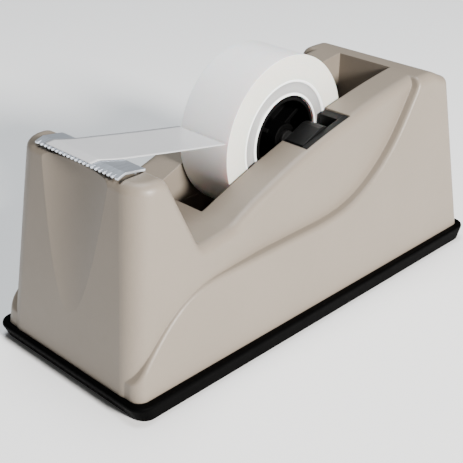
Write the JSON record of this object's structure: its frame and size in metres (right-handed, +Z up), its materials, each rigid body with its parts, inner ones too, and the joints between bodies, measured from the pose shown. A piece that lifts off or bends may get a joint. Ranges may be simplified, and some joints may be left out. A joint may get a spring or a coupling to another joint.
{
  "type": "desk tape dispenser",
  "caption": "Weighted desk tape dispenser with a roll on a lift-out spindle, a toothed cutting blade and a non-slip base.",
  "frame": {"origin": "centre of the bounding box at the face that the dispenser stands on", "axes": "+X towards the rear (the blade is at the -X end), +Y to the side, +Z up; the roll turns about Y"},
  "size_m": [0.15, 0.062, 0.0754],
  "materials": {
    "shell_plastic": "fine-grained warm beige-grey moulded plastic",
    "black_plastic": "black moulded plastic, slight sheen",
    "hub_plastic": "black moulded plastic, smooth",
    "pad_rubber": "dull black sheet rubber",
    "screw_steel": "zinc-plated steel",
    "ballast_iron": "raw cast iron",
    "blade_steel": "bright stamped sheet steel",
    "core_plastic": "whitish smooth plastic",
    "tape_film": "translucent matt adhesive film"
  },
  "bodies": {
    "housing": {"body_shell": "shell_plastic", "base_plate": "black_plastic", "non_slip_pad": "pad_rubber", "base_screws": "screw_steel", "ballast_front": "ballast_iron", "ballast_floor": "ballast_iron", "ballast_rear": "ballast_iron", "cradle_near": "black_plastic", "cradle_far": "black_plastic", "cutter_blade": "blade_steel"},
    "spindle": {"axle_pin": "black_plastic", "tape_strip": "tape_film"},
    "roll": {"hub_drum": "hub_plastic", "tape_core": "core_plastic", "tape_winding": "tape_film"}
  },
  "joints": [
    {"name": "roll_lift_out", "type": "slide", "parent": "housing", "child": "spindle", "axis": [0, 0, 1], "range_m": [0, 0.05]},
    {"name": "roll_spin", "type": "hinge", "parent": "spindle", "child": "roll", "pos_m": [0.0026, 0, 0.0508], "axis": [0, 1, 0], "continuous": true}
  ]
}
